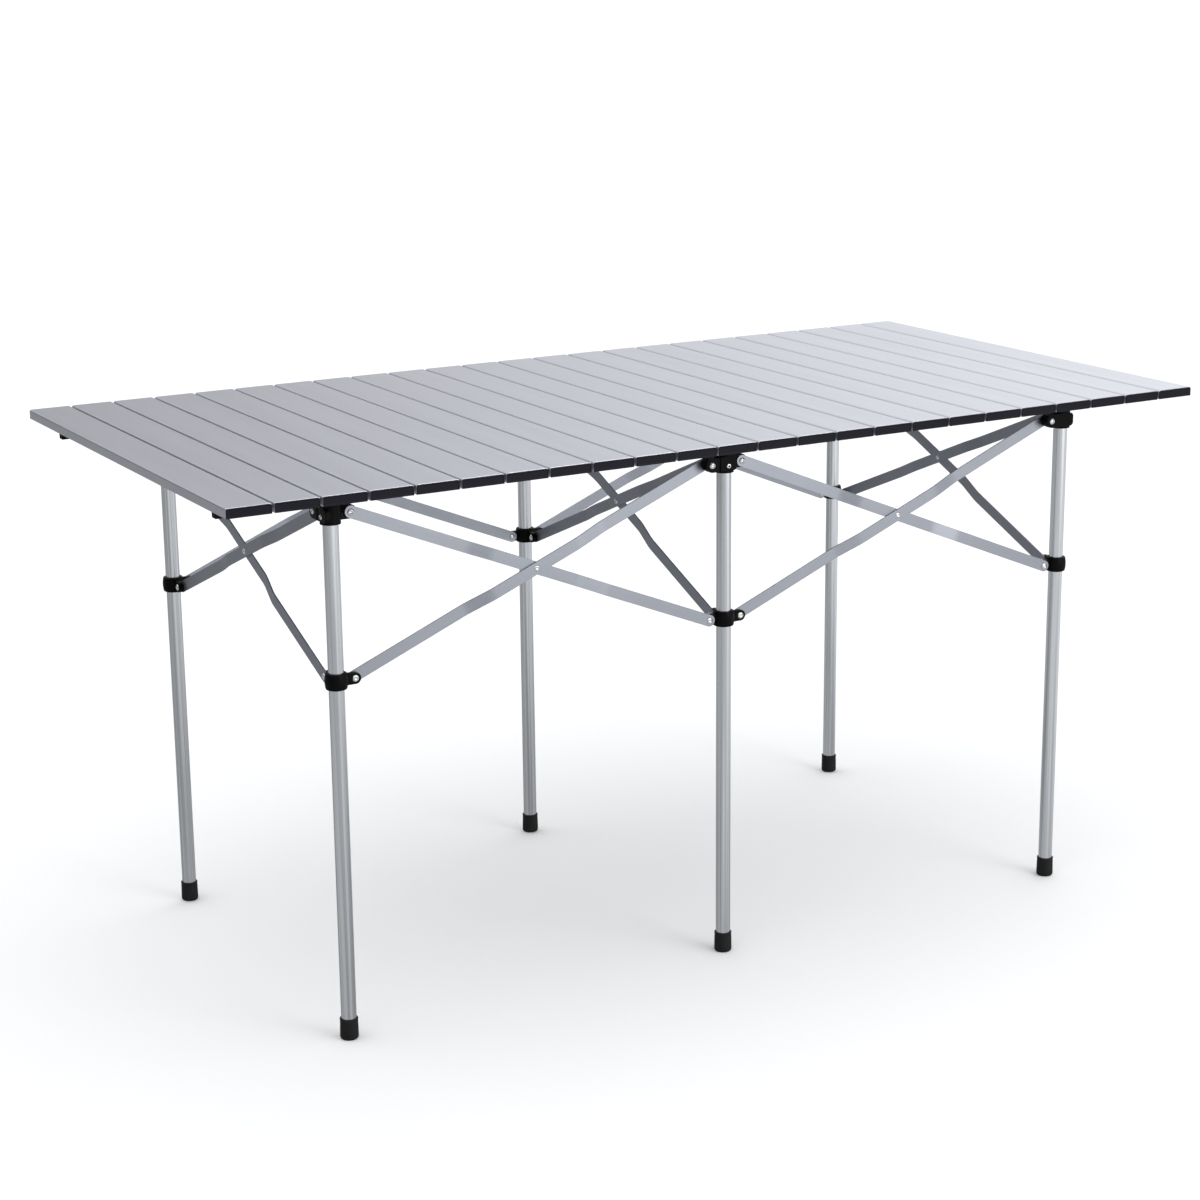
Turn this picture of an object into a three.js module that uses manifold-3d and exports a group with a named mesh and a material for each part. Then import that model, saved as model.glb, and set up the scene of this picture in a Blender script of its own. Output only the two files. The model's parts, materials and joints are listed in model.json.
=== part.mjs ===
// Roll-top folding picnic table: 24 aluminium slats lie on six tube legs, which seven scissor
// braces hold in a 3 by 2 grid. Millimetres, +Z up, the length along X.
// The origin is the middle of the table's footprint, on the ground.
//
// Each brace is described as it is seen from outside its own face: +x to the right, -y towards
// the viewer. The "rise" bar runs from the left slider up to the right bracket, and the "fall"
// bar from the left bracket down to the right slider.
import * as THREE from "three";
import { mergeVertices } from "three/addons/utils/BufferGeometryUtils.js";
import Module from "manifold-3d";

const wasm = await Module();
wasm.setup();

// Table top
const tableLength = 1400;
const tableWidth = 700;
const tableHeight = 700;
const slatCount = 24;
const slatGap = 3;
const slatThickness = 12;
const slatWall = 1.2;
const slatLip = 7;
const slatEdgeChamfer = 1.2;
const endCapDepth = 9;

// Cord end blocks, under the first and the last slat
const blockLength = 26; // along X
const blockWidth = 11;
const blockHeight = 16;
const blockTaper = 1;
const blockFlange = 2; // thickness of the flange that bears on the slat's lips

// Legs
const legSpacing = 541; // between neighbouring legs, both ways
const legRadius = 9.5;
const legWall = 1.2;
const footWall = 2;
const footTaper = 1.3;
const footHeight = 27;
const footRim = 2.5;

// Brace bars
const lowerPivotHeight = 457;
const barWidth = 15;
const barThickness = 2;
const barFlat = 60; // half length of the flat stretch at the crossing
const barJoggle = 48; // length of each bend from there to the flat ends

// Rivets
const pinRadius = 2.4;
const headRadius = 4.2;
const headHeight = 1.4;

// Brackets on the leg tops
const bracketHeight = 40; // from its lower rim to the slats
const bracketSkirt = 12; // from its lower rim to the pivots
const bracketWall = 2.7;
const bracketRoof = 3;
const bracketLugRadius = 8.5;
const bracketPlateReach = 12; // how far the plate over a lug runs past the leg's axis
const bracketPlateSink = 0.5; // how far the plate's face lies below the collar's crown

// Sliders
const sliderWall = 3.9;
const sliderHeight = 20;
const sliderLugRadius = 7;
const sliderChamfer = 1.5;

const lugThickness = 6;

// Clearances
const restGap = 0.3; // between pieces that lie against each other
const pinClearance = 0.35; // round a rivet, in the bar that turns on it
const slideClearance = 0.6; // round a leg, inside its slider
const turnClearance = 2.5; // between a slider's collar and the round end of a bar

// Facets
const tubeSides = 16;
const pinSides = 8;
const lugSides = 8; // on the half circle of a lug or of a bar's end

// Modelling
const cutPast = 1; // how far a cut runs past the surface it opens
const mergeWithin = 1e-4; // corners nearer than this become one

const slatWidth = (tableLength - (slatCount - 1) * slatGap) / slatCount;
const slatPitch = slatWidth + slatGap;
const slatUnderside = tableHeight - slatThickness;
const bracketTop = slatUnderside - restGap;
const upperPivotHeight = slatUnderside - bracketHeight + bracketSkirt;
const bracketRadius = legRadius + restGap + bracketWall;
const bracketPlateFace = bracketRadius - bracketPlateSink;
const sliderRadius = legRadius + slideClearance + sliderWall;
const footRadius = legRadius + footWall;
const pivotOffset = sliderRadius + turnClearance + barWidth / 2;
const crossingHeight = (upperPivotHeight + lowerPivotHeight) / 2;
const halfBay = legSpacing / 2;
const pivotRun = legSpacing - 2 * pivotOffset;
const pivotRise = upperPivotHeight - lowerPivotHeight;
const barLength = Math.hypot(pivotRun, pivotRise);
const barAngle = Math.atan2(pivotRise, pivotRun);
const barEndPlane = lugThickness / 2 + restGap + barThickness / 2;
const barCrossingPlane = (barThickness + restGap) / 2;
const tubeTop = bracketTop - bracketRoof - restGap;

const legNames = {
  front_left: [-1, -1],
  front_middle: [0, -1],
  front_right: [1, -1],
  rear_left: [-1, 1],
  rear_middle: [0, 1],
  rear_right: [1, 1],
};

// Each face: the middle of its bay, in bays from the origin, and its turn about Z in quarter turns.
const faces = {
  front_left: { bay: [-0.5, -0.5], turn: 0 },
  front_right: { bay: [0.5, -0.5], turn: 0 },
  rear_left: { bay: [-0.5, 0.5], turn: 2 },
  rear_right: { bay: [0.5, 0.5], turn: 2 },
  left_end: { bay: [-1, 0], turn: -1 },
  right_end: { bay: [1, 0], turn: 1 },
  middle: { bay: [0, 0], turn: -1 },
};

function finish(color, roughness, metalness) {
  return () => new THREE.MeshStandardMaterial({ color, roughness, metalness });
}
const anodisedSlat = finish(0xb9bac6, 0.38, 1);
const brightTube = finish(0xb4b9bf, 0.3, 1);
const barAluminium = finish(0xa9afc2, 0.35, 1);
const blackPlastic = finish(0x16161a, 0.5, 0);

function solid(geometry) {
  const bare = geometry.index ? geometry.toNonIndexed() : geometry.clone();
  bare.deleteAttribute("normal");
  bare.deleteAttribute("uv");
  const merged = mergeVertices(bare, mergeWithin);
  return new wasm.Manifold(
    new wasm.Mesh({
      numProp: 3,
      vertProperties: new Float32Array(merged.attributes.position.array),
      triVerts: new Uint32Array(merged.index.array),
    }),
  );
}

function mesh(name, body, material) {
  const data = body.getMesh();
  const geometry = new THREE.BufferGeometry();
  geometry.setAttribute("position", new THREE.BufferAttribute(data.vertProperties, 3));
  geometry.setIndex(new THREE.BufferAttribute(data.triVerts, 1));
  geometry.computeVertexNormals();
  const made = new THREE.Mesh(geometry, material());
  made.name = name;
  return made;
}

// A box between two corners.
function block(low, high) {
  const size = high.map((v, i) => v - low[i]);
  const geometry = new THREE.BoxGeometry(...size);
  return solid(geometry.translate(...high.map((v, i) => (v + low[i]) / 2)));
}

// A solid of revolution about Z, from [radius, height] points that start and end on the axis.
function turned(points, sides) {
  const profile = points.map(([radius, height]) => new THREE.Vector2(radius, height));
  return solid(new THREE.LatheGeometry(profile, sides).rotateX(Math.PI / 2));
}

function upright(radius, bottom, top, sides) {
  const geometry = new THREE.CylinderGeometry(radius, radius, top - bottom, sides);
  return solid(geometry.rotateX(Math.PI / 2).translate(0, 0, (bottom + top) / 2));
}

// A cylinder along Y through (x, z).
function pin(x, z, radius, front, back) {
  const geometry = new THREE.CylinderGeometry(radius, radius, back - front, pinSides);
  return solid(geometry.translate(x, (front + back) / 2, z));
}

// A closed outline in the XZ plane, extruded along Y from front to back.
function plate(shape, front, back) {
  const geometry = new THREE.ExtrudeGeometry(shape, {
    depth: back - front,
    bevelEnabled: false,
    curveSegments: lugSides,
  });
  return solid(geometry.rotateX(Math.PI / 2).translate(0, back, 0));
}

function join(first, ...rest) {
  return rest.reduce((all, next) => all.add(next), first);
}

// A slat: a channel with inward lips, its two ends plugged. Its top is at z = 0.
function slatBody() {
  const half = slatWidth / 2;
  const end = tableWidth / 2;
  const section = new THREE.Shape([
    new THREE.Vector2(-half, -slatThickness),
    new THREE.Vector2(half, -slatThickness),
    new THREE.Vector2(half, -slatEdgeChamfer),
    new THREE.Vector2(half - slatEdgeChamfer, 0),
    new THREE.Vector2(-half + slatEdgeChamfer, 0),
    new THREE.Vector2(-half, -slatEdgeChamfer),
  ]);
  const hollow = block(
    [-half + slatWall, -end + endCapDepth, -slatThickness + slatWall],
    [half - slatWall, end - endCapDepth, -slatWall],
  );
  const mouth = half - slatWall - slatLip;
  const slot = block(
    [-mouth, -end + endCapDepth, -slatThickness - cutPast],
    [mouth, end - endCapDepth, -slatThickness + 2 * slatWall],
  );
  return plate(section, -end, end).subtract(hollow).subtract(slot);
}

// A cord end block: its two ends lean inwards, and its top is at z = 0. A flange spans the
// slat's mouth and reaches half way over each lip.
function cordBlockBody() {
  const half = blockLength / 2;
  const reach = slatWidth / 2 - slatWall - slatLip / 2;
  const outline = new THREE.Shape([
    new THREE.Vector2(-half, 0),
    new THREE.Vector2(-half + blockTaper, -blockHeight),
    new THREE.Vector2(half - blockTaper, -blockHeight),
    new THREE.Vector2(half, 0),
  ]);
  const side = blockWidth / 2;
  const flange = block([-reach, -side, -blockFlange], [reach, side, 0]);
  return plate(outline, -side, side).add(flange);
}

// A leg: an open tube with a rubber foot plugged into its lower end.
function legBody() {
  const foot = turned(
    [
      [0, 0],
      [footRadius - footTaper, 0],
      [footRadius, footRim],
      [footRadius, footHeight],
      [0, footHeight],
    ],
    tubeSides,
  );
  const tube = upright(legRadius, footHeight / 2, tubeTop, tubeSides);
  const bore = upright(legRadius - legWall, footHeight, tubeTop + cutPast, tubeSides);
  return join(foot, tube).subtract(bore);
}

// The outline of a lug: level with the leg's axis at one end, round about its pivot at the other.
function lugOutline(side, pivotHeight, radius) {
  const outline = new THREE.Shape();
  const start = side > 0 ? -Math.PI / 2 : Math.PI / 2;
  outline.moveTo(0, pivotHeight - side * radius);
  outline.lineTo(side * pivotOffset, pivotHeight - side * radius);
  outline.absarc(side * pivotOffset, pivotHeight, radius, start, start + Math.PI, false);
  outline.lineTo(0, pivotHeight + side * radius);
  outline.closePath();
  return outline;
}

// A lug with its rivet. A fall bar lies on the lug's outer side, a rise bar on its inner side.
// cover is how far the lug's outer face stands from the leg's axis.
function lug(side, bar, pivotHeight, radius, cover) {
  const inner = lugThickness / 2;
  const reach = inner + restGap + barThickness + restGap;
  const x = side * pivotOffset;
  const body = plate(lugOutline(side, pivotHeight, radius), -cover, inner);
  if (bar === "fall") {
    return join(
      body,
      pin(x, pivotHeight, pinRadius, -reach - headHeight / 2, 0),
      pin(x, pivotHeight, headRadius, -reach - headHeight, -reach),
    );
  }
  return join(
    body,
    pin(x, pivotHeight, pinRadius, 0, reach + headHeight / 2),
    pin(x, pivotHeight, headRadius, reach, reach + headHeight),
    pin(x, pivotHeight, headRadius, -cover - headHeight, 0),
  );
}

// What meets at a leg, for each face it belongs to: the face's turn, and on which side of the leg
// the brace lies.
function facesAt([column, row]) {
  return Object.values(faces).flatMap(({ bay, turn }) => {
    const across = turn % 2 !== 0;
    const near = across
      ? bay[0] === column
      : bay[1] * 2 === row && Math.abs(bay[0] - column) < 1;
    if (!near) return [];
    const away = across ? -row : Math.sign(bay[0] - column);
    return [{ turn, side: across ? (turn > 0 ? away : -away) : turn === 0 ? away : -away }];
  });
}

// A bracket: a capped collar over the leg's top, a lug for each brace, and a flat plate that
// covers each rise bar's lug and runs across the front of the collar.
function bracketBody(leg) {
  const bottom = upperPivotHeight - bracketSkirt;
  let body = upright(bracketRadius, bottom, bracketTop, tubeSides);
  for (const { turn, side } of facesAt(leg)) {
    const bar = side < 0 ? "rise" : "fall";
    const cover = bar === "rise" ? bracketPlateFace : lugThickness / 2;
    let part = lug(side, bar, upperPivotHeight, bracketLugRadius, cover);
    if (bar === "rise") {
      const plateLow = upperPivotHeight - bracketLugRadius;
      const ends = [-pivotOffset, bracketPlateReach];
      part = part.add(
        block(
          [ends[0], -bracketPlateFace, plateLow],
          [ends[1], -bracketPlateFace / 2, upperPivotHeight + bracketLugRadius],
        ),
      );
    }
    body = body.add(part.rotate([0, 0, 90 * turn]));
  }
  const bore = upright(legRadius + restGap, bottom - cutPast, tubeTop + restGap, tubeSides);
  return body.subtract(bore);
}

// A slider: a collar that runs on the leg, with a lug for each brace.
function sliderBody(leg) {
  const low = lowerPivotHeight - sliderHeight / 2;
  const high = lowerPivotHeight + sliderHeight / 2;
  let body = turned(
    [
      [0, low],
      [sliderRadius - sliderChamfer, low],
      [sliderRadius, low + sliderChamfer],
      [sliderRadius, high - sliderChamfer],
      [sliderRadius - sliderChamfer, high],
      [0, high],
    ],
    tubeSides,
  );
  for (const { turn, side } of facesAt(leg)) {
    const bar = side < 0 ? "fall" : "rise";
    const part = lug(side, bar, lowerPivotHeight, sliderLugRadius, lugThickness / 2);
    body = body.add(part.rotate([0, 0, 90 * turn]));
  }
  const bore = upright(legRadius + slideClearance, low - cutPast, high + cutPast, tubeSides);
  return body.subtract(bore);
}

// A bar: a strip along x with round ends, bent out of its plane on both sides of the crossing.
// facing is -1 for a bar that is nearer the viewer at the crossing, and 1 for the other.
function barBody(facing) {
  const reach = (barLength + barWidth) / 2;
  const half = barWidth / 2;
  const crossing = facing * barCrossingPlane;
  const end = -facing * barEndPlane;
  const centre = [
    [-reach, end],
    [-barFlat - barJoggle, end],
    [-barFlat, crossing],
    [barFlat, crossing],
    [barFlat + barJoggle, end],
    [reach, end],
  ];
  const side = (offset) => centre.map(([x, y]) => new THREE.Vector2(x, y + offset));
  const edge = [...side(-barThickness / 2), ...side(barThickness / 2).reverse()];
  const strip = new THREE.ExtrudeGeometry(new THREE.Shape(edge), {
    depth: barWidth,
    bevelEnabled: false,
  }).translate(0, 0, -half);
  const outline = new THREE.Shape();
  outline.absarc(barLength / 2, 0, half, -Math.PI / 2, Math.PI / 2, false);
  outline.absarc(-barLength / 2, 0, half, Math.PI / 2, (3 * Math.PI) / 2, false);
  outline.closePath();
  const deep = barEndPlane + barThickness;
  let body = solid(strip).intersect(plate(outline, -deep, deep));
  const holes = facing < 0 ? [-1, 1] : [-1, 0, 1];
  for (const place of holes) {
    const x = (place * barLength) / 2;
    body = body.subtract(pin(x, 0, pinRadius + pinClearance, -deep, deep));
  }
  if (facing < 0) {
    const back = barCrossingPlane + barThickness / 2 + restGap;
    const front = barCrossingPlane + barThickness / 2;
    body = join(
      body,
      pin(0, 0, pinRadius, -barCrossingPlane, back + headHeight / 2),
      pin(0, 0, headRadius, back, back + headHeight),
      pin(0, 0, headRadius, -front - headHeight, -barCrossingPlane),
    );
  }
  return body;
}

const table = new THREE.Group();

const slatSolid = slatBody();
for (let i = 0; i < slatCount; i++) {
  const name = "slat_" + String(i + 1).padStart(2, "0");
  const slat = mesh(name, slatSolid, anodisedSlat);
  slat.position.set((i - (slatCount - 1) / 2) * slatPitch, 0, tableHeight);
  table.add(slat);
}

const blockSolid = cordBlockBody();
for (const [end, sideX] of [["left", -1], ["right", 1]]) {
  for (const [row, sideY] of [["front", -1], ["rear", 1]]) {
    const made = mesh("cord_block_" + row + "_" + end, blockSolid, blackPlastic);
    const middle = (tableLength - slatWidth) / 2;
    made.position.set(sideX * middle, sideY * halfBay, slatUnderside - restGap);
    table.add(made);
  }
}

const legSolid = legBody();
for (const [name, place] of Object.entries(legNames)) {
  const station = new THREE.Group();
  station.position.set(place[0] * legSpacing, place[1] * halfBay, 0);
  station.add(
    mesh("leg_" + name, legSolid, brightTube),
    mesh("bracket_" + name, bracketBody(place), blackPlastic),
    mesh("slider_" + name, sliderBody(place), blackPlastic),
  );
  table.add(station);
}

const riseSolid = barBody(-1);
const fallSolid = barBody(1);
for (const [name, { bay, turn }] of Object.entries(faces)) {
  const face = new THREE.Group();
  face.position.set(bay[0] * legSpacing, bay[1] * legSpacing, crossingHeight);
  face.rotation.z = (turn * Math.PI) / 2;
  const rise = mesh("brace_" + name + "_rise", riseSolid, barAluminium);
  const fall = mesh("brace_" + name + "_fall", fallSolid, barAluminium);
  rise.rotation.y = -barAngle;
  fall.rotation.y = barAngle;
  face.add(rise, fall);
  table.add(face);
}

export default table;
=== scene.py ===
import json
import math
import bpy
from mathutils import Matrix, Vector


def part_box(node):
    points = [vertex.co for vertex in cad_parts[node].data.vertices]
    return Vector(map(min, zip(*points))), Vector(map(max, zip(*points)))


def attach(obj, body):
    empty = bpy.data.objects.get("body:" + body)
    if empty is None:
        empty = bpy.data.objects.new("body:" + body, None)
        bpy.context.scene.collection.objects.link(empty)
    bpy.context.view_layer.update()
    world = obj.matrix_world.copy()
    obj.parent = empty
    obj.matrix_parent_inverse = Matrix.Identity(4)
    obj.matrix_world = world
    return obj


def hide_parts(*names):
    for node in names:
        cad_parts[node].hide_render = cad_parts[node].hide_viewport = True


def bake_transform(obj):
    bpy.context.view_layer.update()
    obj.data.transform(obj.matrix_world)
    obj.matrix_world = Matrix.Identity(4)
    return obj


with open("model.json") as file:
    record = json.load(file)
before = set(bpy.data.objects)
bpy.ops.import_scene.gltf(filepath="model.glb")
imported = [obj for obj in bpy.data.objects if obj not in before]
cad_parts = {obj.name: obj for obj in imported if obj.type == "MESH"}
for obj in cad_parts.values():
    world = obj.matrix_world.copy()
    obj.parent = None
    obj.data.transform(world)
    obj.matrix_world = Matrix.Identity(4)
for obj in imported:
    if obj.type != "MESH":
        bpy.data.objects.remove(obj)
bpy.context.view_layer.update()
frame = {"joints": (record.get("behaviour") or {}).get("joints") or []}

scene = bpy.context.scene
pivots = {joint["name"]: Vector(joint["pos_m"]) for joint in frame["joints"] if "pos_m" in joint}

# ---------------------------------------------------------------------------------------------
# The camera stands a little above the top and to the left of the table, on a long lens, so that
# both rows of legs show under the front edge.
camera_target = Vector((-0.0287, 0.0, 0.4229))
camera_distance = 3.563
camera_azimuth = math.radians(-29.47)
camera_elevation = math.radians(14.88)
camera_roll = math.radians(-0.60)
turn = (
    Matrix.Rotation(camera_azimuth, 4, "Z")
    @ Matrix.Rotation(math.pi / 2 - camera_elevation, 4, "X")
    @ Matrix.Rotation(camera_roll, 4, "Z")
)
lens = bpy.data.cameras.new("table_camera")
lens.lens = 78.2
lens.sensor_width = 36.0
lens.clip_end = 200.0
camera = bpy.data.objects.new("table_camera", lens)
camera.matrix_world = (
    Matrix.Translation(camera_target) @ turn @ Matrix.Translation((0, 0, camera_distance))
)
scene.collection.objects.link(camera)
scene.camera = camera

# ---------------------------------------------------------------------------------------------
# The stage: a wide white floor under a dome of soft light, which is bright overhead, dim at the
# horizon, and brighter again behind the table's right end, where the slats mirror it. The metal
# mirrors a greyer floor than the camera sees, with painted shade in it: darker behind the left
# end and lighter towards the front right.
floor_size = 160.0
dome_low = 0.27
dome_high = 1.28
dome_rear = 1.22
dome_dim = 0.16
dome_front = 0.30
paper_seen = 0.98
paper_painted_shade = 0.35
paper_painted_light = 0.58
paper_turn = 2.4


class Wire:
    """A value in a pattern of nodes. Sums and products of wires add Math nodes."""

    def __init__(self, board, socket):
        self.board = board
        self.socket = socket

    def maths(self, operation, *values):
        return self.board.node("ShaderNodeMath", {"operation": operation}, *values)

    def __add__(self, other):
        return self.maths("ADD", self, other)

    __radd__ = __add__

    def __sub__(self, other):
        return self.maths("SUBTRACT", self, other)

    def __rsub__(self, other):
        return self.maths("SUBTRACT", other, self)

    def __mul__(self, other):
        return self.maths("MULTIPLY", self, other)

    __rmul__ = __mul__

    def between(self, low, high):
        settings = {"interpolation_type": "SMOOTHSTEP"}
        return self.board.node("ShaderNodeMapRange", settings, self, low, high, 0.0, 1.0)


class Board:
    """A node tree that is put together node by node."""

    def __init__(self, tree):
        self.tree = tree

    def plug(self, socket, value):
        if isinstance(value, Wire):
            self.tree.links.new(value.socket, socket)
        else:
            socket.default_value = value

    def node(self, kind, settings, *values, out=0, **named):
        made = self.tree.nodes.new(kind)
        for key, value in settings.items():
            setattr(made, key, value)
        for key, value in [*enumerate(values), *named.items()]:
            self.plug(made.inputs[key], value)
        return Wire(self, made.outputs[out])


bpy.ops.object.select_all(action="DESELECT")
bpy.ops.mesh.primitive_plane_add(size=floor_size, location=(0, 0, 0))
floor = bpy.context.object
floor.name = "studio_floor"
paper = bpy.data.materials.new("white_paper")
paper.use_nodes = True
paper_board = Board(paper.node_tree)
paper_spot = paper_board.node("ShaderNodeTexCoord", {}, out="Object")
paper_x, paper_y = (
    paper_board.node("ShaderNodeSeparateXYZ", {}, paper_spot, out=axis) for axis in "XY"
)
seen = paper_board.node("ShaderNodeLightPath", {}, out="Is Camera Ray")
# Painted shade and light for reflections only: the floor the metal mirrors is darker towards the
# rear left and lighter towards the front right, while the camera sees it evenly white.
painted_front_light = (paper_x - paper_y).between(-paper_turn, paper_turn)
painted_reflected_grey = paper_painted_shade + painted_front_light * (paper_painted_light - paper_painted_shade)
grey = seen * paper_seen + (1 - seen) * painted_reflected_grey
paper_shader = paper.node_tree.nodes["Principled BSDF"]
paper_board.plug(
    paper_shader.inputs["Base Color"],
    paper_board.node("ShaderNodeCombineColor", {}, grey, grey, grey),
)
paper_shader.inputs["Roughness"].default_value = 0.9
paper_shader.inputs["Specular IOR Level"].default_value = 0.1
floor.data.materials.append(paper)

dome = bpy.data.worlds.new("studio_dome")
dome.use_nodes = True
dome_board = Board(dome.node_tree)
direction = dome_board.node("ShaderNodeTexCoord", {}, out="Generated")
dome_x, dome_y, dome_z = (
    dome_board.node("ShaderNodeSeparateXYZ", {}, direction, out=axis) for axis in "XYZ"
)
upward = dome_z.between(0.10, 0.72)
rear_right = dome_x.between(0.22, 0.80) * dome_y.between(0.0, 0.4)
left = (0 - dome_x).between(0.0, 0.6)
glow = dome_low + upward * (dome_high - dome_low) + rear_right * (1 - upward) * dome_rear
front = (0 - dome_y).between(0.1, 0.7)
glow = glow + (front * dome_front - left * dome_dim) * (1 - upward)
in_view = dome_board.node("ShaderNodeLightPath", {}, out="Is Camera Ray")
background = dome.node_tree.nodes["Background"]
background.inputs["Color"].default_value = (0.98, 0.99, 1.0, 1.0)
dome_board.plug(background.inputs["Strength"], in_view + (1 - in_view) * glow)
scene.world = dome
scene.view_settings.view_transform = "Standard"

key_place = Vector((2.2, -4.8, 1.5))
key_aim = Vector((0, 0, 0.5))
key = bpy.data.lights.new("key_front_right", "AREA")
key.shape = "RECTANGLE"
key.size = 2.6
key.size_y = 2.2
key.energy = 95.0
key.color = (1.0, 0.99, 0.97)
key_holder = bpy.data.objects.new("key_front_right", key)
key_holder.location = key_place
key_holder.rotation_euler = (key_aim - key_place).to_track_quat("-Z", "Y").to_euler()
key_holder.visible_camera = False
scene.collection.objects.link(key_holder)

# ---------------------------------------------------------------------------------------------
# Leg tubes: drawn aluminium, 19 mm across with a thin wall, cut square and deburred. They stand
# in their feet and end inside their brackets. The finish is satin, with fine lines from drawing,
# and its colour carries soft vertical streaks of painted reflection.
leg_names = ("front_left", "front_middle", "front_right", "rear_left", "rear_middle", "rear_right")
tube_radius = 0.0095
tube_wall = 0.0012
tube_bottom = 0.004
tube_sides = 64
tube_deburr = 0.0003
tube_dark = (0.47, 0.485, 0.51)
tube_light = (0.92, 0.945, 0.98)


class Finish(Board):
    """A material that is put together round one Principled shader."""

    def __init__(self, name, colour, roughness, metallic, specular=0.5):
        self.material = bpy.data.materials.new(name)
        self.material.use_nodes = True
        super().__init__(self.material.node_tree)
        self.shader = self.tree.nodes["Principled BSDF"]
        self.shader.inputs["Base Color"].default_value = (*colour, 1.0)
        self.shader.inputs["Roughness"].default_value = roughness
        self.shader.inputs["Metallic"].default_value = metallic
        self.shader.inputs["Specular IOR Level"].default_value = specular

    def set(self, name, value):
        self.plug(self.shader.inputs[name], value)

    def place(self, source="Object", scale=(1, 1, 1)):
        spot = self.node("ShaderNodeTexCoord", {}, out=source)
        return self.node("ShaderNodeMapping", {}, Vector=spot, Scale=scale)

    def noise(self, spot, scale=1.0, detail=2.0, rough=0.5):
        return self.node(
            "ShaderNodeTexNoise", {}, Vector=spot, Scale=scale, Detail=detail, Roughness=rough
        )

    def tint(self, amount, first, second):
        made = self.node("ShaderNodeMix", {"data_type": "RGBA"}, out=2)
        for place, value in ((0, amount), (6, (*first, 1.0)), (7, (*second, 1.0))):
            self.plug(made.socket.node.inputs[place], value)
        return made

    def bump(self, height, strength, distance):
        made = self.node("ShaderNodeBump", {}, Strength=strength, Distance=distance, Height=height)
        self.set("Normal", made)


drawn = Finish("drawn_tube", (0.52, 0.54, 0.55), 0.3, 1.0)
lines = drawn.noise(drawn.place(scale=(1400, 1400, 5)), detail=3.0)
# Painted reflection: soft vertical light and dark streaks round the tube, drawn into the base
# colour.
bands = drawn.noise(drawn.place(scale=(300, 300, 1.5)), detail=1.0).between(0.38, 0.62)
cloud = drawn.noise(drawn.place(scale=(9, 9, 4)), detail=4.0)
# The colour mixes real drawing lines and mottle with the painted reflection streaks.
grain_and_painted_streaks = lines * 0.25 + cloud * 0.2 + bands * 0.55
drawn.set("Base Color", drawn.tint(grain_and_painted_streaks, tube_dark, tube_light))
drawn.set("Roughness", 0.17 + lines * 0.08 + cloud * 0.05)
drawn.bump(lines, 0.12, 0.0002)
drawn.shader.inputs["Anisotropic"].default_value = 0.35


def fresh_start():
    if bpy.context.object and bpy.context.object.mode != "OBJECT":
        bpy.ops.object.mode_set(mode="OBJECT")
    bpy.ops.object.select_all(action="DESELECT")


def use(piece):
    fresh_start()
    piece.select_set(True)
    bpy.context.view_layer.objects.active = piece
    return piece


def shape(piece, kind, **settings):
    """Adds a modifier and applies it."""
    use(piece)
    modifier = piece.modifiers.new(kind.lower(), kind)
    for key, value in settings.items():
        setattr(modifier, key, value)
    bpy.ops.object.modifier_apply(modifier=modifier.name)
    return piece


def ease(piece, width, segments, degrees):
    """Rounds the edges that turn by more than an angle."""
    angle = math.radians(degrees)
    shape(piece, "BEVEL", width=width, segments=segments, limit_method="ANGLE", angle_limit=angle)


def smooth(piece, degrees=35):
    """Smooth shading that keeps sharp edges sharp and large flat faces flat."""
    use(piece)
    bpy.ops.object.shade_smooth_by_angle(angle=math.radians(degrees))
    return shape(piece, "WEIGHTED_NORMAL", keep_sharp=True, weight=60)


def copy_to(model, name, *moves):
    """A copy with its own mesh, moved by the given matrices, the last one first."""
    made = bpy.data.objects.new(name, model.data.copy())
    made.data.name = name
    scene.collection.objects.link(made)
    for move in reversed(moves):
        made.data.transform(move)
    made.data.update()
    return made


def discard(model):
    bpy.data.objects.remove(model)


def finish_piece(piece, body, slot, finish, *replaced):
    piece.data.materials.clear()
    piece.data.materials.append(finish.material)
    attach(piece, body)
    if replaced:
        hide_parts(*replaced)


leg_spot = {}
for leg in leg_names:
    low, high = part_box("leg_" + leg)
    leg_spot[leg] = Vector(((low.x + high.x) / 2, (low.y + high.y) / 2, 0))
    tube_top = high.z

fresh_start()
bpy.ops.mesh.primitive_cylinder_add(
    vertices=tube_sides,
    radius=tube_radius,
    depth=tube_top - tube_bottom,
    end_fill_type="NOTHING",
    location=(0, 0, (tube_top + tube_bottom) / 2),
)
tube = bpy.context.object
bpy.ops.object.transform_apply()
shape(tube, "SOLIDIFY", thickness=tube_wall, offset=-1.0, use_even_offset=True)
ease(tube, tube_deburr, 2, 50)
smooth(tube)
for leg in leg_names:
    made = copy_to(tube, "leg_tube_" + leg, Matrix.Translation(leg_spot[leg]))
    finish_piece(made, leg + "_leg", "tube_aluminium", drawn, "leg_" + leg)
discard(tube)

# ---------------------------------------------------------------------------------------------
# Feet: black rubber cups pushed over the tube ends. The bottom rim is well rounded, the mouth
# has a small lip, and the sole is dished with one ring so that it does not rock.
foot_sides = 56
ring_merge = 1e-7
foot_profile = (
    (0.0030, 0.0012),
    (0.0055, 0.0012),
    (0.0062, 0.0000),
    (0.0086, 0.0000),
    (0.0099, 0.0004),
    (0.0109, 0.0014),
    (0.0115, 0.0030),
    (0.0114, 0.0120),
    (0.0111, 0.0245),
    (0.0114, 0.0256),
    (0.0113, 0.0265),
    (0.0108, 0.0270),
    (0.0101, 0.0269),
    (0.0097, 0.0262),
    (0.0096, 0.0180),
)


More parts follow.
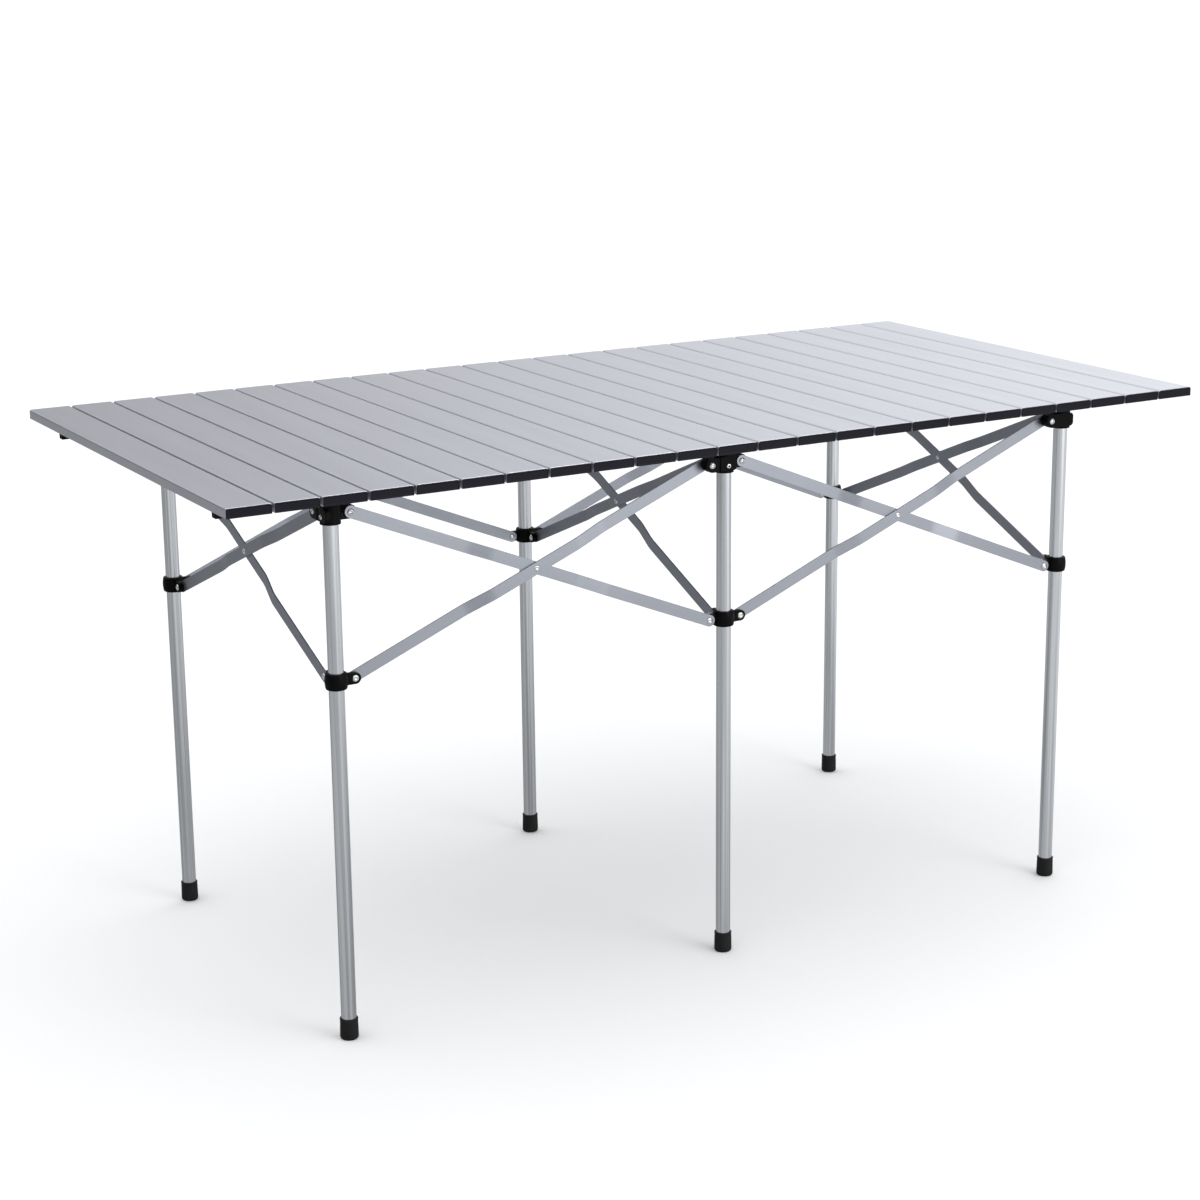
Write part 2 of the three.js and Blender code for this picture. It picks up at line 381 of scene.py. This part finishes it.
def turned(name, profile, sides):
    """A closed turned piece about Z: a filled circle, drawn out ring by ring to its last radius."""
    fresh_start()
    radius, height = profile[0]
    bpy.ops.mesh.primitive_circle_add(
        vertices=sides, radius=radius, fill_type="TRIFAN", location=(0, 0, height)
    )
    made = bpy.context.object
    made.name = name
    bpy.ops.object.transform_apply()
    bpy.ops.object.mode_set(mode="EDIT")
    bpy.ops.mesh.select_mode(type="EDGE")
    bpy.ops.mesh.select_all(action="SELECT")
    bpy.ops.mesh.region_to_loop()
    for new_radius, new_height in profile[1:]:
        step = (0, 0, new_height - height)
        bpy.ops.mesh.extrude_edges_move(TRANSFORM_OT_translate={"value": step})
        ratio = new_radius / radius
        bpy.ops.transform.resize(value=(ratio, ratio, 1), center_override=(0, 0, new_height))
        radius, height = new_radius, new_height
    bpy.ops.mesh.edge_face_add()
    bpy.ops.mesh.select_all(action="SELECT")
    bpy.ops.mesh.remove_doubles(threshold=ring_merge)
    bpy.ops.mesh.normals_make_consistent(inside=False)
    bpy.ops.object.mode_set(mode="OBJECT")
    return smooth(made)


rubber = Finish("foot_rubber", (0.006, 0.006, 0.007), 0.75, 0.0, 0.3)
dust = rubber.noise(rubber.place(scale=(60, 60, 40)), detail=5.0, rough=0.6).between(0.45, 0.8)
grain = rubber.noise(rubber.place(), scale=1500.0, detail=2.0)
rubber.set("Base Color", rubber.tint(dust, (0.005, 0.005, 0.006), (0.014, 0.014, 0.014)))
rubber.set("Roughness", 0.62 + dust * 0.2)
rubber.bump(grain, 0.25, 0.0003)

foot = turned("foot", foot_profile, foot_sides)
for leg in leg_names:
    made = copy_to(foot, "foot_" + leg, Matrix.Translation(leg_spot[leg]))
    finish_piece(made, leg + "_leg", "foot_rubber", rubber)
discard(foot)

# ---------------------------------------------------------------------------------------------
# Rivets: bright steel, with a domed head that has a punched middle and a smaller set tail. Each
# brace turns on them. The head stands towards -y of the brace, the side it is seen from.
head_radius = 0.0042
shank_radius = 0.0022
head_rise = 0.0014
rivet_sides = 40

steel = Finish("rivet_steel", (0.80, 0.80, 0.80), 0.2, 1.0)
scuff = steel.noise(steel.place(), scale=900.0, detail=3.0)
steel.set("Base Color", steel.tint(scuff, (0.66, 0.66, 0.67), (0.92, 0.92, 0.91)))
steel.set("Roughness", 0.14 + scuff * 0.18)
steel.bump(scuff, 0.10, 0.0002)


def rivet(name, grip):
    """A rivet along +z from its head's face at 0 to its tail, round a stack that is grip thick."""
    profile = (
        (0.0008, -0.0004),
        (0.0013, -0.0006),
        (0.0017, -0.0012),
        (0.0022, -head_rise),
        (0.0030, -0.0012),
        (0.0038, -0.0006),
        (head_radius, -0.0001),
        (head_radius, 0.0),
        (shank_radius, 0.0),
        (shank_radius, grip),
        (0.0034, grip),
        (0.0035, grip + 0.0003),
        (0.0029, grip + 0.0010),
        (0.0017, grip + 0.0013),
        (0.0013, grip + 0.0008),
        (0.0008, grip + 0.0006),
    )
    return turned(name, profile, rivet_sides)


# Turns a rivet's axis from +z to +y, into the brace.
into_brace = Matrix.Rotation(-math.pi / 2, 4, "X")

# ---------------------------------------------------------------------------------------------
# Where the braces are. Each face's brace is drawn as it is seen from outside: x to the right, -y
# towards the viewer. Its crossing rivet's place comes from the frame.
faces = {
    "front_left": (0, "front_left", "front_middle"),
    "front_right": (0, "front_middle", "front_right"),
    "rear_left": (2, "rear_middle", "rear_left"),
    "rear_right": (2, "rear_right", "rear_middle"),
    "left_end": (-1, "rear_left", "front_left"),
    "right_end": (1, "front_right", "rear_right"),
    "middle": (-1, "rear_middle", "front_middle"),
}
lug_half = 0.003
rest_gap = 0.0003
strip_thickness = 0.002
strip_width = 0.015
pivot_offset = 0.024
low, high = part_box("slider_front_middle")
lower_pivot = (low.z + high.z) / 2
upper_pivot = pivots["frame_fold"].z
bay = leg_spot["front_middle"].x - leg_spot["front_left"].x
run = bay - 2 * pivot_offset
rise_height = upper_pivot - lower_pivot
strip_length = math.hypot(run, rise_height)
strip_angle = math.atan2(rise_height, run)
end_plane = lug_half + rest_gap + strip_thickness / 2
crossing_plane = (strip_thickness + rest_gap) / 2


def quarter(turns):
    return Matrix.Rotation(turns * math.pi / 2, 4, "Z")


def on_face(face):
    return Matrix.Translation(pivots[face + "_crossing"]) @ quarter(faces[face][0])


# ---------------------------------------------------------------------------------------------
# Brace bars: 15 by 2 mm aluminium strip with round ends and rolled edges. Each is flat at the
# crossing and jogs out of its plane towards both ends, so that two bars pass each other there and
# meet the lugs on their two sides.
flat_half = 0.060
jog_length = 0.048
jog_steps = 10
jog_bend = 0.2
strip_round_share = 0.999
strip_edge = 0.0008
strip_merge = 1e-6
same_place = 1e-5
strip_dark = (0.285, 0.30, 0.338)
strip_light = (0.365, 0.384, 0.432)

strip = Finish("bar_strip", (0.28, 0.295, 0.335), 0.42, 1.0)
along = strip.noise(strip.place("UV", scale=(3, 420, 1)), detail=3.0)
cloud = strip.noise(strip.place("UV", scale=(14, 3, 1)), detail=4.0)
marks = strip.noise(strip.place("UV", scale=(40, 6, 1)), scale=2.0, detail=5.0, rough=0.7)
marks = marks.between(0.62, 0.78)
strip.set("Base Color", strip.tint(along * 0.5 + cloud * 0.5, strip_dark, strip_light))
strip.set("Roughness", 0.36 + along * 0.10 + marks * 0.12)
strip.bump(along, 0.12, 0.0002)


def pick(piece, kind, test):
    """Selects the points, edges or faces that pass a test, with the mode left in edit mode."""
    use(piece)
    bpy.ops.object.mode_set(mode="EDIT")
    bpy.ops.mesh.select_mode(type=kind)
    bpy.ops.mesh.select_all(action="DESELECT")
    bpy.ops.object.mode_set(mode="OBJECT")
    points = piece.data.vertices
    if kind == "VERT":
        for point in points:
            point.select = test(point.co)
    elif kind == "EDGE":
        for edge in piece.data.edges:
            edge.select = test(*(points[i].co for i in edge.vertices))
    else:
        for side in piece.data.polygons:
            side.select = test(side.center, side.normal)
    bpy.ops.object.mode_set(mode="EDIT")


def brick(name, low, high):
    fresh_start()
    middle = [(a + b) / 2 for a, b in zip(low, high)]
    size = [b - a for a, b in zip(low, high)]
    bpy.ops.mesh.primitive_cube_add(size=1.0, location=middle, scale=size)
    made = bpy.context.object
    made.name = name
    bpy.ops.object.transform_apply()
    return made


def cut(piece, point, normal):
    use(piece)
    bpy.ops.object.mode_set(mode="EDIT")
    bpy.ops.mesh.select_all(action="SELECT")
    bpy.ops.mesh.bisect(plane_co=point, plane_no=normal)
    bpy.ops.object.mode_set(mode="OBJECT")


def jogged(share):
    """How far over a pressed jog has gone: straight between two short bends."""
    if share < jog_bend:
        return share * share / (2 * jog_bend * (1 - jog_bend))
    if share > 1 - jog_bend:
        return 1 - jogged(1 - share)
    return (share - jog_bend / 2) / (1 - jog_bend)


def brace_strip(name, facing):
    """A bar along x. facing is -1 where it lies nearer the viewer at the crossing, else 1."""
    reach = (strip_length + strip_width) / 2
    half = strip_width / 2
    middle = facing * crossing_plane
    shift = -facing * (end_plane + crossing_plane)
    made = brick(
        name,
        (-reach, middle - strip_thickness / 2, -half),
        (reach, middle + strip_thickness / 2, half),
    )
    stations = [flat_half + jog_length * i / jog_steps for i in range(jog_steps + 1)]
    for station in stations:
        for side in (-1, 1):
            cut(made, (side * station, 0, 0), (1, 0, 0))
    for i, station in enumerate(stations[1:], 1):
        offset = shift * jogged(i / jog_steps)
        last = i == jog_steps
        near = jog_length / jog_steps / 2
        pick(
            made,
            "VERT",
            lambda co: abs(co.x) > station - near and (last or abs(co.x) < station + near),
        )
        bpy.ops.transform.translate(value=(0, offset, 0))
    pick(
        made,
        "EDGE",
        lambda a, b: abs(abs(a.x) - reach) < same_place and abs(a.y - b.y) > strip_thickness / 2,
    )
    bpy.ops.mesh.bevel(offset=half * strip_round_share, segments=12, affect="EDGES")
    bpy.ops.mesh.select_all(action="SELECT")
    bpy.ops.mesh.remove_doubles(threshold=strip_merge)
    bpy.ops.object.mode_set(mode="OBJECT")
    ease(made, strip_edge, 3, 60)
    layer = made.data.uv_layers.new(name="strip")
    for loop in made.data.loops:
        spot = made.data.vertices[loop.vertex_index].co
        layer.data[loop.index].uv = (spot.x, spot.z + spot.y)
    for other in [each for each in made.data.uv_layers if each.name != "strip"]:
        made.data.uv_layers.remove(other)
    return smooth(made)


strips = {"rise": brace_strip("rise_strip", -1), "fall": brace_strip("fall_strip", 1)}
lean = {
    "rise": Matrix.Rotation(-strip_angle, 4, "Y"),
    "fall": Matrix.Rotation(strip_angle, 4, "Y"),
}
crossing_rivet = rivet("crossing_rivet", 2 * strip_thickness + rest_gap)
crossing_face = crossing_plane + strip_thickness / 2
for face in faces:
    for bar in ("rise", "fall"):
        made = copy_to(strips[bar], "bar_" + face + "_" + bar, on_face(face), lean[bar])
        body, node = face + "_" + bar + "_bar", "brace_" + face + "_" + bar
        finish_piece(made, body, "bar_aluminium", strip, node)
    moves = (on_face(face), Matrix.Translation((0, -crossing_face, 0)), into_brace)
    made = copy_to(crossing_rivet, "crossing_rivet_" + face, *moves)
    finish_piece(made, face + "_rise_bar", "rivet_steel", steel)
for model in (*strips.values(), crossing_rivet):
    discard(model)

# ---------------------------------------------------------------------------------------------
# Brackets: black moulded caps on the leg tops. A collar closes over the tube, and a lug reaches
# out to each brace. A flat plate covers the lug of each rise bar and runs on across the collar,
# and a hollow rivet holds the cap to its tube.
cap_radius = 0.0125
cap_skirt = 0.012
collar_sides = 56
lug_radius = 0.0085
plate_face = 0.012
plate_reach = 0.012
plate_margin = 0.0005
plate_corner = 0.005
round_share = 0.98
bracket_edge = 0.0007
cut_past = 0.001
notch_skin = 0.0001
notch_gap = 0.002
fix_drop = 0.003
moulded_dark = (0.0018, 0.0018, 0.0020)
moulded_light = (0.0038, 0.0038, 0.0042)

moulded = Finish("black_moulding", (0.003, 0.003, 0.003), 0.42, 0.0, 0.07)
speckle = moulded.noise(moulded.place(), scale=2600.0, detail=2.0)
haze = moulded.noise(moulded.place(), scale=70.0, detail=4.0)
moulded.set("Base Color", moulded.tint(haze, moulded_dark, moulded_light))
moulded.set("Roughness", 0.34 + haze * 0.18)
moulded.bump(speckle, 0.18, 0.0002)


def facing_sides(leg):
    """The faces that meet at a leg: each one's quarter turns, its side of the leg, and its bars."""
    found = []
    for turns, left_leg, right_leg in faces.values():
        if leg == left_leg:
            found.append((turns, 1, "fall", "rise"))
        if leg == right_leg:
            found.append((turns, -1, "rise", "fall"))
    return found


def union(first, others):
    for other in others:
        shape(first, "BOOLEAN", operation="UNION", solver="EXACT", object=other)
        discard(other)


def carve(first, other):
    shape(first, "BOOLEAN", operation="DIFFERENCE", solver="EXACT", object=other)
    discard(other)


def rounded_plate(name, low, high, round_left, round_right):
    """A plate in the xz plane whose left or right corners are rounded by the given radii."""
    made = brick(name, low, high)
    for radius, end in ((round_left, low[0]), (round_right, high[0])):
        if radius:
            pick(
                made,
                "EDGE",
                lambda a, b: abs(a.x - end) < same_place
                and abs(b.x - end) < same_place
                and abs(a.y - b.y) > same_place,
            )
            bpy.ops.mesh.bevel(offset=radius, segments=10, affect="EDGES")
            bpy.ops.object.mode_set(mode="OBJECT")
    return made


def post(name, radius, bottom, top):
    fresh_start()
    bpy.ops.mesh.primitive_cylinder_add(
        vertices=collar_sides,
        radius=radius,
        depth=top - bottom,
        location=(0, 0, (top + bottom) / 2),
    )
    made = bpy.context.object
    made.name = name
    bpy.ops.object.transform_apply()
    return made


def turn_round(piece, turns):
    piece.data.transform(quarter(turns))
    return piece


bracket_bottom = upper_pivot - cap_skirt
bracket_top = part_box("bracket_front_middle")[1].z


def lug(turns, side, height, radius):
    """A lug from the tube's axis out past a pivot, with a round end."""
    reach = pivot_offset + radius
    ends = (0, reach) if side > 0 else (-reach, 0)
    rounds = (0, radius * round_share) if side > 0 else (radius * round_share, 0)
    low = (ends[0], -lug_half, height - radius)
    high = (ends[1], lug_half, height + radius)
    return turn_round(rounded_plate("lug", low, high, *rounds), turns)


def bracket(leg):
    low_z = upper_pivot - lug_radius
    high_z = upper_pivot + lug_radius
    reach = pivot_offset + lug_radius
    body = post("bracket_" + leg + "_moulding", cap_radius, bracket_bottom, bracket_top)
    parts = []
    for turns, side, upper_bar, _ in facing_sides(leg):
        parts.append(lug(turns, side, upper_pivot, lug_radius))
        if upper_bar == "rise":
            cover = rounded_plate(
                "cover",
                (-reach, -plate_face, low_z - plate_margin),
                (plate_reach, 0.0, high_z + plate_margin),
                lug_radius * round_share,
                plate_corner,
            )
            parts.append(turn_round(cover, turns))
            notch = brick(
                "notch",
                (-reach - cut_past, -lug_half - notch_skin, low_z - notch_gap),
                (-cap_radius - notch_gap, cut_past, high_z + notch_gap),
            )
            carve(parts[-1], turn_round(notch, turns))
    union(body, parts)
    for turns, _, upper_bar, _ in facing_sides(leg):
        if upper_bar == "rise":
            crown = brick(
                "crown",
                (-cap_radius, -cap_radius - cut_past, low_z - plate_margin),
                (plate_reach, -plate_face, high_z + plate_margin),
            )
            carve(body, turn_round(crown, turns))
    bore_radius = tube_radius + rest_gap
    carve(body, post("tube_bore", bore_radius, bracket_bottom - cut_past, tube_top + rest_gap))
    ease(body, bracket_edge, 3, 40)
    return smooth(body, 40)


fall_rivet = rivet("fall_rivet", strip_thickness + 2 * rest_gap + 2 * lug_half)
cover_rivet = rivet("cover_rivet", plate_face + lug_half + strip_thickness + 2 * rest_gap)
fall_face = lug_half + 2 * rest_gap + strip_thickness


def collar_rivets(leg, height, bars, prefix, cover_depth, cover_model):
    """The rivets of a bracket or a slider: one through each lug and the bar on it."""
    for turns, side, upper_bar, lower_bar in facing_sides(leg):
        bar = upper_bar if bars == "upper" else lower_bar
        front = fall_face if bar == "fall" else cover_depth
        model = fall_rivet if bar == "fall" else cover_model
        moves = (
            Matrix.Translation(leg_spot[leg]),
            quarter(turns),
            Matrix.Translation((side * pivot_offset, -front, height)),
            into_brace,
        )
        name = "%s_%s_%d%s" % (prefix, leg, turns % 4, "r" if side > 0 else "l")
        body = leg + ("_leg" if bars == "upper" else "_slider")
        finish_piece(copy_to(model, name, *moves), body, "rivet_steel", steel)


hollow_rivet = turned(
    "hollow_rivet",
    (
        (0.0006, 0.0050),
        (0.0011, 0.0050),
        (0.0012, 0.0040),
        (0.0012, -0.0006),
        (0.0016, -0.0011),
        (0.0025, -0.0010),
        (0.0031, -0.0004),
        (0.0032, 0.0),
        (0.0019, 0.0),
        (0.0019, 0.0060),
    ),
    rivet_sides,
)
for leg in leg_names:
    model = bracket(leg)
    made = copy_to(model, "bracket_moulding_" + leg, Matrix.Translation(leg_spot[leg]))
    discard(model)
    finish_piece(made, leg + "_leg", "black_plastic", moulded, "bracket_" + leg)
    collar_rivets(leg, upper_pivot, "upper", "upper_rivet", plate_face, cover_rivet)
    # The hollow rivet faces outwards, through a cover plate or, where there is none, the collar.
    column = round(leg_spot[leg].x / bay)
    row = -1 if leg_spot[leg].y < 0 else 1
    turns = column if column else (0 if row < 0 else 2)
    depth = plate_face if (column <= 0) == (row < 0) or not column else cap_radius
    moves = (
        Matrix.Translation(leg_spot[leg]),
        quarter(turns),
        Matrix.Translation((0, -depth, upper_pivot - fix_drop)),
        into_brace,
    )
    made = copy_to(hollow_rivet, "fixing_rivet_" + leg, *moves)
    finish_piece(made, leg + "_leg", "rivet_steel", steel)

# ---------------------------------------------------------------------------------------------
# Sliders: black moulded collars that run on the legs, slightly barrelled, with a lug for the
# lower end of each brace.
collar_radius = 0.014
collar_lug_radius = 0.007
slide_gap = 0.0006
slider_edge = 0.0006


def slider(leg):
    low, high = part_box("slider_" + leg)
    half = (high.z - low.z) / 2
    profile = (
        (collar_radius - 0.0024, lower_pivot - half),
        (collar_radius - 0.0013, lower_pivot - half + 0.0005),
        (collar_radius - 0.0007, lower_pivot - half + 0.0022),
        (collar_radius, lower_pivot - 0.0025),
        (collar_radius, lower_pivot + 0.0025),
        (collar_radius - 0.0007, lower_pivot + half - 0.0022),
        (collar_radius - 0.0013, lower_pivot + half - 0.0005),
        (collar_radius - 0.0024, lower_pivot + half),
    )
    body = turned("slider_" + leg + "_moulding", profile, collar_sides)
    parts = []
    for turns, side, _, _ in facing_sides(leg):
        parts.append(lug(turns, side, lower_pivot, collar_lug_radius))
    union(body, parts)
    carve(body, post("slide_bore", tube_radius + slide_gap, low.z - cut_past, high.z + cut_past))
    ease(body, slider_edge, 3, 40)
    return smooth(body, 40)


lug_rivet = rivet("lug_rivet", strip_thickness + 2 * rest_gap + 2 * lug_half)
for leg in leg_names:
    model = slider(leg)
    made = copy_to(model, "slider_moulding_" + leg, Matrix.Translation(leg_spot[leg]))
    discard(model)
    finish_piece(made, leg + "_slider", "black_plastic", moulded, "slider_" + leg)
    collar_rivets(leg, lower_pivot, "lower", "lower_rivet", lug_half, lug_rivet)
for model in (fall_rivet, cover_rivet, lug_rivet, hollow_rivet):
    discard(model)

# ---------------------------------------------------------------------------------------------
# Slats: satin aluminium channels with rounded long edges and lips that turn in underneath. The
# grain of the brushing runs along them, and the lips stop short of the ends, for the caps.
slat_count = 24
wall = 0.0012
lip = 0.007
edge_radius = 0.0024
cap_depth = 0.009
cap_border = 0.0015
lip_edge = 0.0002
slat_dark = (0.40, 0.405, 0.445)
slat_light = (0.69, 0.70, 0.765)
slat_low, slat_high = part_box("slat_01")
slat_half = (slat_high.x - slat_low.x) / 2
slat_end = (slat_high.y - slat_low.y) / 2
slat_thick = slat_high.z - slat_low.z

brushed = Finish("brushed_slat", (0.55, 0.56, 0.61), 0.36, 1.0)
hair = brushed.noise(brushed.place(scale=(2600, 10, 900)), detail=3.0)
wave = brushed.noise(brushed.place(scale=(40, 3, 10)), detail=4.0)
spots = brushed.noise(brushed.place(), scale=260.0, detail=5.0, rough=0.65)
satin = hair * 0.3 + wave * 0.3 + spots * 0.4
brushed.set("Base Color", brushed.tint(satin, slat_dark, slat_light))
brushed.set("Roughness", 0.24 + hair * 0.08 + spots * 0.08)
brushed.bump(hair * 0.7 + spots * 0.3, 0.08, 0.0002)


def channel():
    cut_end = slat_end - cap_border
    made = brick("channel", (-slat_half, -cut_end, -slat_thick), (slat_half, cut_end, 0))
    pick(
        made,
        "EDGE",
        lambda a, b: min(a.z, b.z) > -same_place and abs(a.x - b.x) < same_place,
    )
    bpy.ops.mesh.bevel(offset=edge_radius, segments=5, affect="EDGES")
    bpy.ops.object.mode_set(mode="OBJECT")
    mouth = slat_half - wall - lip
    for side in (-1, 1):
        cut(made, (side * mouth, 0, 0), (1, 0, 0))
        cut(made, (0, side * (slat_end - cap_depth), 0), (0, 1, 0))
    pick(
        made,
        "FACE",
        lambda centre, normal: abs(normal.y) > 0.9
        or (normal.z < -0.9 and (abs(centre.x) < mouth or abs(centre.y) > slat_end - cap_depth)),
    )
    bpy.ops.mesh.delete(type="FACE")
    bpy.ops.object.mode_set(mode="OBJECT")
    shape(made, "SOLIDIFY", thickness=wall, offset=-1.0, use_even_offset=True)
    ease(made, lip_edge, 2, 60)
    return smooth(made, 40)


def slat_spot(number):
    low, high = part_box("slat_%02d" % number)
    return Vector(((low.x + high.x) / 2, 0, high.z))


slat_model = channel()
for number in range(1, slat_count + 1):
    made = copy_to(slat_model, "slat_channel_%02d" % number, Matrix.Translation(slat_spot(number)))
    finish_piece(made, "top_slat_%02d" % number, "slat_aluminium", brushed, "slat_%02d" % number)
discard(slat_model)

# ---------------------------------------------------------------------------------------------
# End caps: dark blue-black plastic plugs. A thin flange covers the channel's cut end all round,
# and its outer face is slightly dished inside a narrow border.
cap_gap = 0.0001
cap_round = 0.0012
cap_flange_round = 0.0022
cap_inset = 0.0004
cap_drop = 0.0006
cap_rim = 0.0012
cap_dish_edge = 0.0005
cap_dish = 0.0003
cap_edge = 0.00025
cap_dark = (0.0045, 0.0042, 0.0085)
cap_light = (0.009, 0.0085, 0.016)

cap_plastic = Finish("end_cap_plastic", (0.006, 0.006, 0.010), 0.45, 0.0, 0.12)
speckle = cap_plastic.noise(cap_plastic.place(), scale=2200.0, detail=2.0)
haze = cap_plastic.noise(cap_plastic.place(), scale=50.0, detail=4.0)
cap_plastic.set("Base Color", cap_plastic.tint(haze, cap_dark, cap_light))
cap_plastic.set("Roughness", 0.34 + haze * 0.14)
cap_plastic.bump(speckle, 0.15, 0.0002)


def cap_block(name, half, top, front, back, rounding):
    made = brick(name, (-half, front, -slat_thick), (half, back, top))
    pick(
        made,
        "EDGE",
        lambda a, b: min(a.z, b.z) > -slat_thick / 2 and abs(a.y - b.y) > (back - front) / 2,
    )
    bpy.ops.mesh.bevel(offset=rounding, segments=5, affect="EDGES")
    bpy.ops.object.mode_set(mode="OBJECT")
    return made


def end_cap():
    front = -slat_end
    plug_top = -wall - cap_gap
    plug_half = slat_half - wall - cap_gap
    plug_front = front + cap_border / 2
    flange_back = front + cap_border - cap_gap
    plug = cap_block("cap_plug", plug_half, plug_top, plug_front, front + cap_depth, cap_round)
    made = cap_block("cap", slat_half - cap_inset, -cap_drop, front, flange_back, cap_flange_round)
    pick(made, "FACE", lambda centre, normal: normal.y < -0.9)
    bpy.ops.mesh.inset(thickness=cap_rim)
    bpy.ops.mesh.inset(thickness=cap_dish_edge, depth=-cap_dish)
    bpy.ops.object.mode_set(mode="OBJECT")
    union(made, [plug])
    ease(made, cap_edge, 2, 30)
    return smooth(made, 40)


cap_model = end_cap()
for number in range(1, slat_count + 1):
    for end, turns in (("front", 0), ("rear", 2)):
        moves = (Matrix.Translation(slat_spot(number)), quarter(turns))
        made = copy_to(cap_model, "end_cap_%02d_%s" % (number, end), *moves)
        finish_piece(made, "top_slat_%02d" % number, "end_cap_plastic", cap_plastic)
discard(cap_model)

# ---------------------------------------------------------------------------------------------
# Cord end blocks: small black mouldings under the middles of the first and last slats, in line
# with the leg rows. They hold the ends of the two elastic cords. A thin flange bears on the
# lips of the slat, and the two ends below it lean inwards.
block_taper = 0.001
block_flange = 0.002
block_half = 0.013
block_border = 0.0018
block_dish = 0.0006
block_edge = 0.0006


def cord_block(row, end):
    low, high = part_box("cord_block_" + row + "_" + end)
    across = (low.x + high.x) / 2
    flange = brick("cord_flange", (low.x, low.y, high.z - block_flange), high)
    made = brick(
        "cord_block",
        (across - block_half, low.y, low.z),
        (across + block_half, high.y, high.z - block_flange / 2),
    )
    for side in (-1, 1):
        pick(
            made,
            "VERT",
            lambda co: co.z < low.z + same_place and (co.x - across) * side > 0,
        )
        bpy.ops.transform.translate(value=(-side * block_taper, 0, 0))
        bpy.ops.object.mode_set(mode="OBJECT")
    pick(made, "FACE", lambda centre, normal: abs(normal.x) > 0.7)
    bpy.ops.mesh.inset(thickness=block_border, use_individual=True)
    bpy.ops.mesh.inset(thickness=block_dish, depth=-block_dish, use_individual=True)
    bpy.ops.object.mode_set(mode="OBJECT")
    union(made, [flange])
    ease(made, block_edge, 3, 50)
    return smooth(made, 40)


for row in ("front", "rear"):
    for end, number in (("left", 1), ("right", slat_count)):
        model = cord_block(row, end)
        made = copy_to(model, "cord_end_block_" + row + "_" + end)
        discard(model)
        body, node = "top_slat_%02d" % number, "cord_block_" + row + "_" + end
        finish_piece(made, body, "black_plastic", moulded, node)

# ---------------------------------------------------------------------------------------------
# Elastic cords: two black braided cords thread all the slats, in line with the leg rows. Each
# length bridges one gap. The last lengths turn down into the end blocks.
cord_radius = 0.0022
cord_drop = 0.0070
cord_bend = 0.004
bend_steps = 6
cord_steps = 16
cord_sink = 0.0005
braid_dark = (0.008, 0.008, 0.009)
braid_light = (0.045, 0.045, 0.050)

braid = Finish("elastic_braid", (0.02, 0.02, 0.02), 0.8, 0.0)
diagonal = {"wave_type": "BANDS", "bands_direction": "DIAGONAL"}
weave = braid.node("ShaderNodeTexWave", diagonal, Vector=braid.place("UV"), Scale=260.0)
braid.set("Base Color", braid.tint(weave, braid_dark, braid_light))
braid.bump(weave, 0.6, 0.0005)


def cord_length(name, points):
    """A round cord through the given points, with its length and its girth as its UV map."""
    path = bpy.data.curves.new(name, "CURVE")
    path.dimensions = "3D"
    spline = path.splines.new("POLY")
    spline.points.add(len(points) - 1)
    for knot, point in zip(spline.points, points):
        knot.co = (*point, 1)
    path.bevel_depth = cord_radius
    path.bevel_resolution = 2
    path.use_fill_caps = True
    made = bpy.data.objects.new(name, path)
    scene.collection.objects.link(made)
    use(made)
    bpy.ops.object.convert(target="MESH")
    made = bpy.context.object
    layers = made.data.uv_layers
    layer = layers[0] if layers else layers.new(name="cord")
    axis = points[0]
    for loop in made.data.loops:
        spot = made.data.vertices[loop.vertex_index].co
        around = math.atan2(spot.y - axis[1], spot.z - axis[2]) * cord_radius
        layer.data[loop.index].uv = (spot.x, around)
    return smooth(made, 60)


cord_height = slat_high.z - cord_drop
for row, leg in (("front", "front_middle"), ("rear", "rear_middle")):
    y = leg_spot[leg].y
    for number in range(1, slat_count):
        start, end = slat_spot(number).x, slat_spot(number + 1).x
        if number == 1:
            start += cord_bend
        if number == slat_count - 1:
            end -= cord_bend
        points = [
            (start + (end - start) * i / cord_steps, y, cord_height) for i in range(cord_steps + 1)
        ]
        made = cord_length("cord_%s_%02d" % (row, number), points)
        made.data.materials.append(braid.material)
        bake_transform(made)
    for end, number, inward in (("left", 1, 1), ("right", slat_count, -1)):
        block_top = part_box("cord_block_" + row + "_" + end)[1].z
        x = slat_spot(number).x
        points = []
        for i in range(bend_steps + 1):
            angle = i * math.pi / 2 / bend_steps
            across = inward * cord_bend * (1 - math.sin(angle))
            points.append((x + across, y, cord_height - cord_bend * (1 - math.cos(angle))))
        points.append((x, y, block_top - cord_sink))
        made = cord_length("cord_end_%s_%s" % (row, end), points)
        finish_piece(made, "top_slat_%02d" % number, "elastic_cord", braid)
